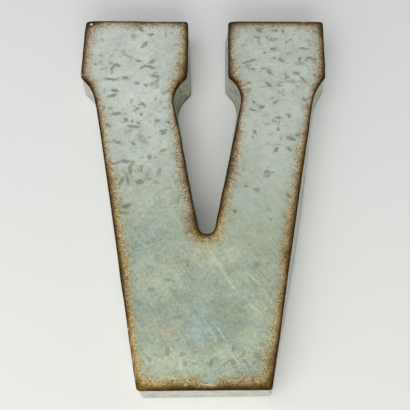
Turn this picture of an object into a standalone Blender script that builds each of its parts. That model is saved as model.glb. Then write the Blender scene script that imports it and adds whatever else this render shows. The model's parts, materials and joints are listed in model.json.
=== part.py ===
# A galvanised sheet-metal letter V with slab serifs, hollow and open at the back.
# It lies on its rim, face up: x runs across the letter, y from its foot to its top, z out of its face.
# Outlines are laid out with y = 0 at the foot; an empty then centres the finished letter on the origin.

import math
from collections import namedtuple

import bmesh
import bpy
from mathutils import Matrix, Vector

# Letter
LETTER_HEIGHT = 0.305
LETTER_DEPTH = 0.0293
SERIF_SPAN = 0.1992
SERIF_HEIGHT = 0.0546
SERIF_SLOPE = math.radians(51)
FOOT_WIDTH = 0.0930
KNEE_OVERHANG = 0.0112
GAP_WIDTH = 0.0335
GAP_OFFSET = 0.0031
LEFT_NECK_OVERHANG = 0.0124
RIGHT_NECK_OVERHANG = 0.0108
NOTCH_OFFSET = 0.0021
CROTCH_HEIGHT = 0.1138
CROTCH_RADIUS = 0.0067
NECK_RADIUS = 0.026
KNEE_RADIUS = 0.035
SERIF_RADIUS = 0.004
END_RADIUS = 0.0025
ROUND_SHARE = 0.8

# Sheet metal
SHEET = 0.0006
CLEARANCE = 0.0003
FACE_EDGE_RADIUS = 0.0012
LIP_DEPTH = 0.0022
FLANGE_WIDTH = 0.007
NOTCH_RELIEF = 0.0008
SHORTEST_FLANGE = 0.002
TAB_PITCH = 0.007
HEM_RADIUS = 0.0006
HEM_HEIGHT = 0.005
LAP_LENGTH = 0.009
LAP_STEP = 0.0008
LAP_MARGIN = 0.0008

# The rim was bent by hand: how far each corner of it stands off the face's corner, in x and y
RIM_LEAN = {
    "foot_left": (0.0016, -0.0008),
    "foot_right": (0.0010, 0.0005),
    "knee_right": (0.0031, 0.0),
    "serif_right": (0.0010, 0.0030),
    "top_right": (0.0008, 0.0008),
    "gap_right": (-0.0012, 0.0008),
    "bracket_right": (-0.0019, 0.0025),
    "neck_right": (-0.0019, 0.0010),
    "crotch": (0.0003, -0.0020),
    "neck_left": (0.0030, 0.0),
    "bracket_left": (0.0030, 0.0003),
    "gap_left": (0.0008, 0.0008),
    "top_left": (-0.0006, 0.0008),
    "serif_left": (-0.0008, 0.0005),
    "knee_left": (0.0015, 0.0008),
}
LEG_BOW = {("foot_right", "knee_right"): 0.003, ("knee_left", "foot_left"): 0.002}

# Hanger straps
STRAP_WIDTH = 0.020
STRAP_SHEET = 0.001
STRAP_FLANGE = 0.011
STRAP_GAP = 0.0011
STRAP_LIFT = 0.0008
KEYHOLE_HEAD = 0.008
KEYHOLE_SLOT = 0.004
KEYHOLE_RISE = 0.006

# Solder
TACK_RADIUS = 0.0011
TACK_LENGTH = 0.006
TACK_PITCH = 0.075
SEAM_RADIUS = 0.0012
SEAM_END = 0.0015

# Facets
END_STEPS = 6
SERIF_STEPS = 5
TAB_STEPS = 3
SIDE_STEPS = 5
EDGE_STEPS = 3
BEAD_SIDES = 8
BEAD_RINGS = 5
KEYHOLE_STEPS = 20

ZINC = ("galvanised_sheet", (0.56, 0.60, 0.56), 0.42, 0.85)
FACE_ZINC = ("weathered_face", (0.52, 0.57, 0.52), 0.48, 0.75)
STRAP_STEEL = ("strap_steel", (0.50, 0.52, 0.51), 0.38, 0.9)
SOLDER = ("solder", (0.45, 0.46, 0.46), 0.5, 0.8)

Station = namedtuple("Station", "point normal")
Columns = namedtuple("Columns", "upper lower inset whole flanged")

FACE_UNDERSIDE = LETTER_DEPTH - SHEET
FOLD_LEVEL = FACE_UNDERSIDE - CLEARANCE - SHEET / 2
KNUCKLE_LEVEL = LETTER_DEPTH - LIP_DEPTH - CLEARANCE
LAP_TOP = KNUCKLE_LEVEL - LAP_MARGIN
LAP_BOTTOM = HEM_HEIGHT + LAP_MARGIN
STRAP_LEVEL = HEM_HEIGHT + STRAP_LIFT + STRAP_SHEET / 2
WALL_INSET = SHEET + CLEARANCE + SHEET / 2
LAP_REACH = LAP_LENGTH + CLEARANCE + 2 * SEAM_RADIUS
STRAP_DROP = END_RADIUS + LAP_REACH + STRAP_GAP + 2 * SEAM_RADIUS + CLEARANCE + STRAP_WIDTH / 2

# The corners in order, anticlockwise, so that the metal is always on the left
CORNERS = (
    "foot_left", "foot_right", "knee_right", "serif_right", "top_right",
    "gap_right", "bracket_right", "neck_right", "crotch", "neck_left",
    "bracket_left", "gap_left", "top_left", "serif_left", "knee_left",
)
BRACKETS = ("serif_left", "serif_right", "bracket_left", "bracket_right")

# The straight serif walls that the straps reach, and which way along x the metal lies from each
LEFT_OUTER_WALL = ("top_left", "serif_left")
LEFT_INNER_WALL = ("bracket_left", "gap_left")
RIGHT_INNER_WALL = ("gap_right", "bracket_right")
RIGHT_OUTER_WALL = ("serif_right", "top_right")
LETTER_SIDE_X = {
    LEFT_OUTER_WALL: 1,
    LEFT_INNER_WALL: -1,
    RIGHT_INNER_WALL: 1,
    RIGHT_OUTER_WALL: -1,
}


def clear_scene():
    for item in list(bpy.data.objects):
        bpy.data.objects.remove(item, do_unlink=True)


def line_crossing(point, direction, other, other_direction):
    """Where two lines in the plane of the face meet."""
    span = direction.cross(other_direction)
    return point + direction * ((other - point).cross(other_direction) / span)


def grazing_direction(point, centre, reach):
    """The direction from a point that passes a centre at a distance, to its left if the distance is positive."""
    towards = centre - point
    return Matrix.Rotation(math.asin(reach / towards.length), 2) @ towards.normalized()


def face_corners():
    """The sharp corners of the face, before they are rounded."""
    top = LETTER_HEIGHT
    shelf = LETTER_HEIGHT - SERIF_HEIGHT
    drop = math.tan(SERIF_SLOPE)
    crotch = Vector((NOTCH_OFFSET, CROTCH_HEIGHT + CROTCH_RADIUS))
    corners = {}
    notch_sides = []
    for side, sign, neck_overhang in (("left", -1, LEFT_NECK_OVERHANG), ("right", 1, RIGHT_NECK_OVERHANG)):
        serif_x = sign * SERIF_SPAN / 2
        gap_x = GAP_OFFSET + sign * GAP_WIDTH / 2
        neck = Vector((gap_x + sign * neck_overhang, shelf - neck_overhang * drop))
        corners["foot_" + side] = Vector((sign * FOOT_WIDTH / 2, 0))
        corners["knee_" + side] = Vector((serif_x - sign * KNEE_OVERHANG, shelf - KNEE_OVERHANG * drop))
        corners["serif_" + side] = Vector((serif_x, shelf))
        corners["top_" + side] = Vector((serif_x, top))
        corners["gap_" + side] = Vector((gap_x, top))
        corners["bracket_" + side] = Vector((gap_x, shelf))
        corners["neck_" + side] = neck
        notch_sides.extend((neck, grazing_direction(neck, crotch, sign * CROTCH_RADIUS)))
    corners["crotch"] = line_crossing(*notch_sides)
    return corners


def corner_radius(name):
    if name == "crotch":
        return CROTCH_RADIUS
    if name in BRACKETS:
        return SERIF_RADIUS
    return {"knee": KNEE_RADIUS, "neck": NECK_RADIUS}.get(name.split("_")[0], END_RADIUS)


def left_of(direction):
    return Vector((-direction.y, direction.x))


class Outline:
    """A closed line round the letter with rounded corners and, on some sides, a slight bow."""

    def __init__(self, corners, bows):
        self.corners = corners
        self.bows = bows

    def neighbour(self, name, step):
        return CORNERS[(CORNERS.index(name) + step) % len(CORNERS)]

    def turn(self, name):
        """The directions into and out of a corner, and the angle it turns, positive to the left."""
        here = self.corners[name]
        into = (here - self.corners[self.neighbour(name, -1)]).normalized()
        out = (self.corners[self.neighbour(name, 1)] - here).normalized()
        return into, out, math.atan2(into.cross(out), into.dot(out))

    def setback(self, name):
        """How far the round of a corner reaches along its sides, which it leaves a straight part of."""
        here = self.corners[name]
        room = min((self.corners[self.neighbour(name, step)] - here).length for step in (-1, 1))
        return min(ROUND_SHARE * room, corner_radius(name) * math.tan(abs(self.turn(name)[2]) / 2))

    def round(self, name, steps):
        """The stations round a corner."""
        into, _, angle = self.turn(name)
        side = math.copysign(1, angle)
        start = self.corners[name] - into * self.setback(name)
        radius = self.setback(name) / math.tan(abs(angle) / 2)
        centre = start + left_of(into) * side * radius
        stations = []
        for step in range(steps + 1):
            spoke = Matrix.Rotation(angle * step / steps, 2) @ (start - centre)
            stations.append(Station(centre + spoke, -spoke.normalized() * side))
        return stations

    def side(self, first, last):
        """The start, direction and length of the straight run between two rounded corners."""
        _, out, _ = self.turn(first)
        start = self.corners[first] + out * self.setback(first)
        end = self.corners[last] - out * self.setback(last)
        return start, out, (end - start).length

    def along(self, first, last, place):
        """The station at a distance from the start of a side, or from its end if negative."""
        start, out, length = self.side(first, last)
        distance = place if place >= 0 else length + place
        bow = self.bows.get((first, last), 0) * math.sin(math.pi * distance / length)
        return Station(start + out * distance - left_of(out) * bow, left_of(out))


def rim_corners(corners):
    return {name: point + Vector(RIM_LEAN[name]) for name, point in corners.items()}


FACE = Outline(face_corners(), {})
RIM = Outline(rim_corners(FACE.corners), LEG_BOW)


def is_hollow(name):
    """Whether the letter's outline turns outwards at a corner, as at a knee, a neck or the crotch."""
    return FACE.turn(name)[2] < 0


def tab_count(name):
    length = corner_radius(name) * abs(FACE.turn(name)[2])
    return max(2, round(length / TAB_PITCH))


def corner_steps(name):
    if is_hollow(name):
        return tab_count(name) * (TAB_STEPS + 1) - 1
    return SERIF_STEPS if name in BRACKETS else END_STEPS


def corner_flanges(name):
    """Which intervals round a corner carry a flange: tabs on a hollow corner, none on an outer one."""
    if not is_hollow(name):
        return [False] * corner_steps(name)
    return ([True] * TAB_STEPS + [False]) * (tab_count(name) - 1) + [True] * TAB_STEPS


def flange_setback(name):
    """How far from the round of a corner the straight flange starts, so that two flanges never cross."""
    if is_hollow(name):
        return NOTCH_RELIEF
    mitre = (WALL_INSET + FLANGE_WIDTH) * math.tan(FACE.turn(name)[2] / 2)
    return max(0, mitre - FACE.setback(name)) + NOTCH_RELIEF


def flange_span(first, last):
    """Where the straight flange of a side starts and ends, along the side."""
    return flange_setback(first), FACE.side(first, last)[2] - flange_setback(last)


def add_side(columns, first, last, start, end):
    """Adds the straight run of a strip, which starts and ends short of the corners' rounds."""
    length = FACE.side(first, last)[2]
    low, high = flange_span(first, last)
    has_flange = high - low >= SHORTEST_FLANGE
    if not has_flange:
        low, high = length / 3, length * 2 / 3
    places = [start] + [low + (high - low) * step / SIDE_STEPS for step in range(SIDE_STEPS + 1)]
    places.append(length - end)
    rim_share = RIM.side(first, last)[2] / length
    for index, place in enumerate(places):
        add_column(columns, FACE.along(first, last, place), RIM.along(first, last, place * rim_share))
        if index:
            columns.whole.append(True)
            columns.flanged.append(has_flange and 1 < index < len(places) - 1)


def add_corner(columns, name, joined_after):
    """Adds the round of a corner, whose first column is the last one of the side before."""
    steps = corner_steps(name)
    upper = FACE.round(name, steps)
    lower = RIM.round(name, steps)
    for index in range(1, steps + (not joined_after)):
        add_column(columns, upper[index], lower[index])
    columns.whole.extend([True] * steps)
    columns.flanged.extend(corner_flanges(name))


def add_column(columns, upper, lower, inset=0.0):
    columns.upper.append(upper)
    columns.lower.append(lower)
    columns.inset.append(inset)


def add_lap(columns, first, last, places):
    """Adds the stepped-in end of a strip, which laps inside the strip next to it."""
    for place in places:
        inset = 0.0 if place == 0 else SHEET + CLEARANCE
        add_column(columns, FACE.along(first, last, place), RIM.along(first, last, place), inset)


def strip_columns(names):
    """The columns of a strip that runs between two end corners and round those between them."""
    columns = Columns([], [], [], [], [])
    for index in range(len(names) - 1):
        first, last = names[index], names[index + 1]
        start = LAP_STEP + CLEARANCE if index == 0 else 0
        end = LAP_STEP + CLEARANCE if index == len(names) - 2 else 0
        add_side(columns, first, last, start, end)
        if end == 0:
            add_corner(columns, last, joined_after=True)
    return columns


def wrapped_columns(first, last):
    """The columns of a cap or foot, which wraps round both its corners and laps inside its neighbours."""
    columns = Columns([], [], [], [], [])
    before = FACE.neighbour(first, -1)
    after = FACE.neighbour(last, 1)
    add_lap(columns, before, first, (-LAP_LENGTH, -LAP_STEP))
    columns.whole.extend([False, False])
    columns.flanged.extend([False, False])
    add_column(columns, FACE.round(first, 1)[0], RIM.round(first, 1)[0])
    add_corner(columns, first, joined_after=True)
    add_side(columns, first, last, 0, 0)
    add_corner(columns, last, joined_after=False)
    columns.whole.extend([False, False])
    columns.flanged.extend([False, False])
    add_lap(columns, last, after, (LAP_STEP, LAP_LENGTH))
    return columns


def wall_point(upper, lower, height, inset=0.0):
    """A point on the middle of a wall: upright inside the lip, leaning below it, moved inwards by inset."""
    lean = min(1, max(0, 1 - height / KNUCKLE_LEVEL))
    top = upper.point + upper.normal * WALL_INSET
    bottom = lower.point + lower.normal * SHEET / 2
    normal = upper.normal.lerp(lower.normal, lean).normalized()
    plan = top.lerp(bottom, lean) + normal * inset
    return Vector((plan.x, plan.y, height))


def wall_rows():
    """The height and inset of each row of a return, from the tip of its flange to the end of its hem."""
    bevel = HEM_RADIUS * (1 - math.tan(math.pi / 8))
    floor = SHEET / 2
    middle = (LAP_TOP + LAP_BOTTOM) / 2
    return (
        (FOLD_LEVEL, FLANGE_WIDTH),
        (FOLD_LEVEL, 0),
        (KNUCKLE_LEVEL, 0),
        (LAP_TOP, 0),
        (middle, 0),
        (LAP_BOTTOM, 0),
        (floor + bevel, 0),
        (floor, bevel),
        (floor, 2 * HEM_RADIUS - bevel),
        (floor + bevel, 2 * HEM_RADIUS),
        (HEM_HEIGHT, 2 * HEM_RADIUS),
    )


def row_is_used(top, bottom, whole, flanged):
    """Whether a strip has metal between two rows."""
    if top[1] == FLANGE_WIDTH:
        return flanged
    return whole or (top[0] <= LAP_TOP and bottom[0] >= LAP_BOTTOM and top[1] == 0)


def material(settings):
    name, colour, roughness, metallic = settings
    made = bpy.data.materials.get(name)
    if made:
        return made
    made = bpy.data.materials.new(name)
    made.use_nodes = True
    shader = made.node_tree.nodes["Principled BSDF"]
    shader.inputs["Base Color"].default_value = (*colour, 1)
    shader.inputs["Roughness"].default_value = roughness
    shader.inputs["Metallic"].default_value = metallic
    return made


def add_object(name, bm, finish, parent):
    """Makes an object of a mesh that is being edited."""
    bmesh.ops.delete(bm, geom=[vert for vert in bm.verts if not vert.link_faces], context="VERTS")
    mesh = bpy.data.meshes.new(name)
    bm.to_mesh(mesh)
    bm.free()
    mesh.shade_smooth()
    mesh.set_sharp_from_angle(angle=math.radians(35))
    mesh.materials.append(material(finish))
    made = bpy.data.objects.new(name, mesh)
    bpy.context.collection.objects.link(made)
    made.parent = parent
    return made


def thicken(sheet, thickness):
    """Gives a sheet its thickness, half to each side."""
    solidify = sheet.modifiers.new("sheet", "SOLIDIFY")
    solidify.thickness = thickness
    solidify.offset = 0
    solidify.use_even_offset = True
    solidify.use_quality_normals = True


def add_return(name, columns, parent):
    """A return: a strip with flange tabs at its front edge and a hem at its rear edge."""
    rows = wall_rows()
    bm = bmesh.new()
    grid = []
    for upper, lower, shift in zip(columns.upper, columns.lower, columns.inset):
        points = [wall_point(upper, lower, height, inset + shift) for height, inset in rows]
        grid.append([bm.verts.new(point) for point in points])
    for index, (whole, flanged) in enumerate(zip(columns.whole, columns.flanged)):
        near, far = grid[index], grid[index + 1]
        for row in range(len(rows) - 1):
            if row_is_used(rows[row], rows[row + 1], whole, flanged):
                bm.faces.new((near[row], near[row + 1], far[row + 1], far[row]))
    made = add_object(name, bm, ZINC, parent)
    thicken(made, SHEET)
    return made


def add_face_plate(parent):
    """The face: a flat sheet with a rounded edge and a short lip turned down over the returns."""
    bend = FACE_EDGE_RADIUS - SHEET / 2
    profile = [(SHEET / 2, LETTER_DEPTH - LIP_DEPTH)]
    for step in range(EDGE_STEPS + 1):
        angle = math.pi / 2 * step / EDGE_STEPS
        inset = SHEET / 2 + bend * (1 - math.cos(angle))
        profile.append((inset, LETTER_DEPTH - FACE_EDGE_RADIUS + bend * math.sin(angle)))
    stations = [station for name in CORNERS for station in FACE.round(name, corner_steps(name))]
    bm = bmesh.new()
    rings = []
    for inset, height in profile:
        points = [station.point + station.normal * inset for station in stations]
        rings.append([bm.verts.new((point.x, point.y, height)) for point in points])
    for lower, upper in zip(rings, rings[1:]):
        for index in range(len(stations)):
            after = (index + 1) % len(stations)
            bm.faces.new((lower[index], lower[after], upper[after], upper[index]))
    bm.faces.new(rings[-1])
    made = add_object("face_plate", bm, FACE_ZINC, parent)
    thicken(made, SHEET)
    return made


def add_bead(name, start, end, radius, parent):
    """A run of solder between two points, thickest in the middle and closed to a point at each end."""
    axis = end - start
    turn = axis.to_track_quat("Z", "Y")
    bm = bmesh.new()
    rings = []
    for ring in range(1, BEAD_RINGS + 1):
        share = ring / (BEAD_RINGS + 1)
        width = radius * math.sqrt(math.sin(math.pi * share))
        circle = []
        for side in range(BEAD_SIDES):
            angle = 2 * math.pi * side / BEAD_SIDES
            spoke = Vector((math.cos(angle), math.sin(angle), 0)) * width
            circle.append(bm.verts.new(start + axis * share + turn @ spoke))
        rings.append(circle)
    tips = bm.verts.new(start), bm.verts.new(end)
    for index in range(BEAD_SIDES):
        after = (index + 1) % BEAD_SIDES
        for lower, upper in zip(rings, rings[1:]):
            bm.faces.new((lower[index], lower[after], upper[after], upper[index]))
        bm.faces.new((tips[0], rings[0][after], rings[0][index]))
        bm.faces.new((tips[1], rings[-1][index], rings[-1][after]))
    return add_object(name, bm, SOLDER, parent)


def tack_at(station, tangent):
    """The two ends of a tack that lies along the tip of a flange, under the face."""
    gap = TACK_RADIUS + CLEARANCE
    plan = station.point + station.normal * (WALL_INSET + FLANGE_WIDTH + gap)
    middle = Vector((plan.x, plan.y, FACE_UNDERSIDE - gap))
    half = tangent.to_3d() * TACK_LENGTH / 2
    return middle - half, middle + half


def side_tacks(first, last):
    """The tacks along a straight flange, at an even pitch."""
    _, out, _ = FACE.side(first, last)
    low, high = flange_span(first, last)
    if high - low < TACK_LENGTH:
        return []
    count = max(1, round((high - low) / TACK_PITCH))
    places = [low + (high - low) * (index + 0.5) / count for index in range(count)]
    return [tack_at(FACE.along(first, last, place), out) for place in places]


def corner_tack(name):
    """The tack on the middle tab of a hollow corner."""
    stations = FACE.round(name, 2 * tab_count(name))
    middle = stations[tab_count(name) - 1 + tab_count(name) % 2]
    return tack_at(middle, -left_of(middle.normal))


def add_tacks(prefix, names, parent):
    """The tacks that hold one return to the face."""
    tacks = []
    for first, last in zip(names, names[1:]):
        tacks.extend(side_tacks(first, last))
        if last != names[-1] and is_hollow(last):
            tacks.append(corner_tack(last))
    for number, (start, end) in enumerate(tacks, 1):
        add_bead(f"{prefix}_tack_{number}", start, end, TACK_RADIUS, parent)


def add_seam(corner, first, last, place, parent):
    """The solder down the free edge of a lap tab, inside the return that it laps."""
    upper = FACE.along(first, last, place)
    lower = RIM.along(first, last, place)
    inset = SHEET / 2 + CLEARANCE + SEAM_RADIUS
    start = wall_point(upper, lower, LAP_BOTTOM + SEAM_END, inset)
    end = wall_point(upper, lower, LAP_TOP - SEAM_END, inset)
    add_bead(f"{corner}_seam", start, end, SEAM_RADIUS, parent)


def add_seams(first, last, parent):
    """The seams at both ends of a cap or foot."""
    reach = LAP_LENGTH + CLEARANCE + SEAM_RADIUS
    add_seam(first, FACE.neighbour(first, -1), first, -reach, parent)
    add_seam(last, last, FACE.neighbour(last, 1), reach, parent)


def station_at(outline, first, last, y):
    """The station of a side at a place up the letter."""
    start, out, _ = outline.side(first, last)
    return outline.along(first, last, (y - start.y) / out.y)


def strap_end(first, last, height, y):
    """Where a strap's end meets the inside of a serif's wall, at a height and a place up the letter."""
    upper = station_at(FACE, first, last, y)
    lower = station_at(RIM, first, last, y)
    met = wall_point(upper, lower, height, SHEET / 2 + CLEARANCE + STRAP_SHEET / 2)
    return Vector((met.x, y, height))


def keyhole_cutter(name, centre, parent):
    """A prism in the shape of a keyhole about its middle, its narrow end towards the top of the letter."""
    head, slot = KEYHOLE_HEAD / 2, KEYHOLE_SLOT / 2
    drop = Vector((0, (KEYHOLE_RISE + slot - head) / 2))
    opening = math.asin(slot / head)
    bm = bmesh.new()
    points = []
    for step in range(KEYHOLE_STEPS + 1):
        angle = math.pi / 2 + opening + (2 * math.pi - 2 * opening) * step / KEYHOLE_STEPS
        points.append(Vector((head * math.cos(angle), head * math.sin(angle))))
    for step in range(KEYHOLE_STEPS // 2 + 1):
        angle = math.pi * step / (KEYHOLE_STEPS // 2)
        points.append(Vector((slot * math.cos(angle), slot * math.sin(angle) + KEYHOLE_RISE)))
    depth = 2 * STRAP_SHEET
    ring = [bm.verts.new((*(centre.xy + point - drop), centre.z - depth)) for point in points]
    base = bm.faces.new(ring)
    raised = bmesh.ops.extrude_face_region(bm, geom=[base])
    moved = [item for item in raised["geom"] if isinstance(item, bmesh.types.BMVert)]
    bmesh.ops.translate(bm, verts=moved, vec=(0, 0, 2 * depth))
    bmesh.ops.recalc_face_normals(bm, faces=bm.faces)
    cutter = add_object(name, bm, STRAP_STEEL, parent)
    cutter.hide_render = True
    cutter.display_type = "WIRE"
    return cutter


def add_strap(side, outer, inner, parent):
    """A hanger strap across one arm, with its ends turned up along the walls and a keyhole in its middle."""
    y = LETTER_HEIGHT - STRAP_DROP
    edges = (y - STRAP_WIDTH / 2, y + STRAP_WIDTH / 2)
    raised = STRAP_LEVEL + STRAP_FLANGE
    rows = ((outer, raised), (outer, STRAP_LEVEL), (inner, STRAP_LEVEL), (inner, raised))
    bm = bmesh.new()
    lines = [[bm.verts.new(strap_end(*wall, height, edge)) for edge in edges] for wall, height in rows]
    for near, far in zip(lines, lines[1:]):
        bm.faces.new((near[0], near[1], far[1], far[0]))
    bmesh.ops.recalc_face_normals(bm, faces=bm.faces)
    strap = add_object(f"{side}_hanger_strap", bm, STRAP_STEEL, parent)
    thicken(strap, STRAP_SHEET)
    ends = [strap_end(*wall, STRAP_LEVEL, y) for wall in (outer, inner)]
    centre = (ends[0] + ends[1]) / 2
    cut = strap.modifiers.new("keyhole", "BOOLEAN")
    cut.operation = "DIFFERENCE"
    cut.solver = "EXACT"
    cut.object = keyhole_cutter(f"{side}_keyhole_cutter", centre, parent)
    for end, wall in (("outer", outer), ("inner", inner)):
        add_strap_beads(f"{side}_strap_{end}", wall, edges, raised, parent)
    return strap


def add_strap_beads(prefix, wall, edges, raised, parent):
    """The solder along both upright edges of a strap's turned-up end."""
    reach = CLEARANCE + SEAM_RADIUS
    rise = SEAM_RADIUS - STRAP_SHEET / 2
    for label, y in (("lower", edges[0] - reach), ("upper", edges[1] + reach)):
        start = strap_end(*wall, STRAP_LEVEL, y)
        end = strap_end(*wall, raised, y)
        inwards = Vector((math.copysign(rise, LETTER_SIDE_X[wall]), 0, 0))
        add_bead(f"{prefix}_solder_{label}", start + inwards, end + inwards, SEAM_RADIUS, parent)


def add_letter():
    centre_x = (RIM.corners["serif_left"].x + RIM.corners["serif_right"].x) / 2
    centre_y = (RIM.corners["top_left"].y + RIM.corners["foot_left"].y) / 2
    letter = bpy.data.objects.new("letter", None)
    letter.location = (-centre_x, -centre_y, 0)
    bpy.context.collection.objects.link(letter)

    add_face_plate(letter)
    strips = {
        "left_outer": ("top_left", "serif_left", "knee_left", "foot_left"),
        "right_outer": ("foot_right", "knee_right", "serif_right", "top_right"),
        "inner": ("gap_right", "bracket_right", "neck_right", "crotch", "neck_left", "bracket_left", "gap_left"),
    }
    for name, corners in strips.items():
        add_return(f"{name}_return", strip_columns(corners), letter)
        add_tacks(name, corners, letter)
    wraps = {
        "foot": ("foot_left", "foot_right"),
        "right_cap": ("top_right", "gap_right"),
        "left_cap": ("gap_left", "top_left"),
    }
    for name, corners in wraps.items():
        add_return(f"{name}_return", wrapped_columns(*corners), letter)
        add_tacks(name, corners, letter)
        add_seams(*corners, letter)
    add_strap("left", LEFT_OUTER_WALL, LEFT_INNER_WALL, letter)
    add_strap("right", RIGHT_OUTER_WALL, RIGHT_INNER_WALL, letter)


clear_scene()
add_letter()
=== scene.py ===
import json
import math
from contextlib import contextmanager

import bpy
import numpy as np
from mathutils import Matrix, Vector, noise
from mathutils.bvhtree import BVHTree

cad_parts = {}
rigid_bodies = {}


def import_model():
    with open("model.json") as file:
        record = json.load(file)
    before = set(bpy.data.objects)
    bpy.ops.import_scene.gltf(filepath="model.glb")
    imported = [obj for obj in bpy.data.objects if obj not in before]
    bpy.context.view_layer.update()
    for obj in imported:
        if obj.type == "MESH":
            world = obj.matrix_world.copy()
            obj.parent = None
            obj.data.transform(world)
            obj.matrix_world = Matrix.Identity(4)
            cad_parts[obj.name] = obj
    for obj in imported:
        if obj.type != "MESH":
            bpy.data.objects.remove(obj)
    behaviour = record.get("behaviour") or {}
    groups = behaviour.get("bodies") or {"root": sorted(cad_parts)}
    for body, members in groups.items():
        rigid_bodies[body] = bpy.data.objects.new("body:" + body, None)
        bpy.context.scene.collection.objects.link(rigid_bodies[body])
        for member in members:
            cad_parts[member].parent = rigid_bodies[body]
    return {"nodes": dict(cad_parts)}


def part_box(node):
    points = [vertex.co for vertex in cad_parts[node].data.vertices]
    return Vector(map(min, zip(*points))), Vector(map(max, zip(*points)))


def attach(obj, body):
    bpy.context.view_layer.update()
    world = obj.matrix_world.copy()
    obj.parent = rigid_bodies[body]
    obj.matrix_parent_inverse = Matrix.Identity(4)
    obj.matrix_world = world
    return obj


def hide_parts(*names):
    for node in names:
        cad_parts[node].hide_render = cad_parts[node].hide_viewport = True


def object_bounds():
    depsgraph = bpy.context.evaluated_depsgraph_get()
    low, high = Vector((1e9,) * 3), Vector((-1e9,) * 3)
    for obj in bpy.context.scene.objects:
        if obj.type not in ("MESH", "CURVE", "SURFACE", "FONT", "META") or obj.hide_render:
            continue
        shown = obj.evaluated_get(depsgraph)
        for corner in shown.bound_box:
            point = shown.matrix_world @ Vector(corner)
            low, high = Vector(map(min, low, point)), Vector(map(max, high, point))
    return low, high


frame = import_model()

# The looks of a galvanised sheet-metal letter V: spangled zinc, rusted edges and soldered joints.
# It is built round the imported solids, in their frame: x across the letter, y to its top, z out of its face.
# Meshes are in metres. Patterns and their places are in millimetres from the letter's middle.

CAD_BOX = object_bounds()
MM = 0.001
FACE_LOW, FACE_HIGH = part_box("face_plate")
LIP_DEPTH = (FACE_HIGH.z - FACE_LOW.z) / MM
DEPTH = FACE_HIGH.z / MM

# Paper under the letter: its side in metres, and the heights up the letter between which its tint turns from
# a cooler, slightly dimmer painted light at the back to a warmer one at the front
FLOOR_SIZE = 6.0
PAINTED_LIGHT_TURNS = (260, -220)

# Camera: the photograph's, fitted to the corners of the face
PHOTO_SIDE = 410
FOCAL_PIXELS = 753.17
SENSOR_WIDTH = 36.0
CAMERA_ELEVATION = math.radians(66.98)
CAMERA_AZIMUTH = math.radians(-1.01)
CAMERA_ROLL = math.radians(1.02)
CAMERA_DISTANCE = 567.57 * MM
CAMERA_TARGET = Vector((0.41, -15.23, 29.32)) * MM

# Light: the room as it lights things and as it is seen and mirrored, and softboxes by name,
# with their places in metres and their power in watts
ROOM_STRENGTH = 0.37
BACKDROP_STRENGTH = 1.0
SOFTBOX_SIZE = 1.2
SOFTBOXES = {
    "front softbox": ((0, -1.6, 0.8), 19.9),
    "front left softbox": ((-1.1, -1.1, 0.9), 8.8),
    "overhead left softbox": ((-0.6, -0.2, 1.6), 7.2),
}

# Meshes: how finely they are cut, merged and smoothed
FACE_PITCH = 2.5
WALL_PITCH = 7.0
MERGE_DISTANCE = 0.01 * MM
SMOOTH_ANGLE = math.radians(38)
SOLDER_LEVELS = 2
STRAP_BEVEL = 0.18
STRAP_BEVEL_SEGMENTS = 2

# The face's lip: how level a normal is on an upright face, how far in front of one is clear of it,
# and how far up the lip its outline is taken
UPRIGHT = 0.1
LIP_CLEARANCE = 0.1
LIP_LEVEL = 0.3

# Hand work: the face sinks all over and sags in waves, more so past its flanges, from SAG_BEGINS inside
# its edge on. The walls wave sideways, in waves drawn out up the wall by WOBBLE_UPRIGHT, and the solder is
# lumpy. A seed picks one wave among many.
FACE_SINK = 0.04
FACE_SAG = 0.12
SAG_SIZE = 38.0
SAG_BEGINS = 10.0
SAG_RUN = 8.0
SAG_SEED = 11
WALL_WOBBLE = 0.30
WOBBLE_SIZE = 32.0
WOBBLE_UPRIGHT = 0.4
WOBBLE_SEEDS = (17, 23)
SOLDER_LUMPS = 0.16
LUMP_SIZE = 1.6
LUMP_SEED = 5

# Zinc as a shader takes it
ZINC_METALLIC = 0.25
RUST_SHINE = 0.05

# Painted shade on each return: x, y and the share of bright zinc's brightness that is left there.
# The inner return, in the shade of the gap between the arms, has deeper painted shade down its left side than
# down its right.
WALL_PAINTED_SHADE = {
    "foot_return": ((0, -150, 0.74),),
    "inner_return": (
        (-21, 60, 0.50), (-21, 82, 0.40), (-16, 94, 0.42), (-14, 104, 0.58), (-14, 150, 0.66),
        (27, 60, 0.54), (26, 82, 0.60), (22, 94, 0.60), (20, 104, 0.72), (20, 150, 0.78),
    ),
    "left_outer_return": ((-90, 80, 0.78),),
    "right_outer_return": ((82, 62, 0.96), (88, 82, 0.66), (94, 94, 0.66), (100, 112, 0.92)),
    "left_cap_return": ((-60, 150, 0.75),),
    "right_cap_return": ((60, 150, 0.75),),
}
# How far each place of painted shade reaches, in millimetres
PAINTED_SHADE_REACH = 5.0

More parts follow.
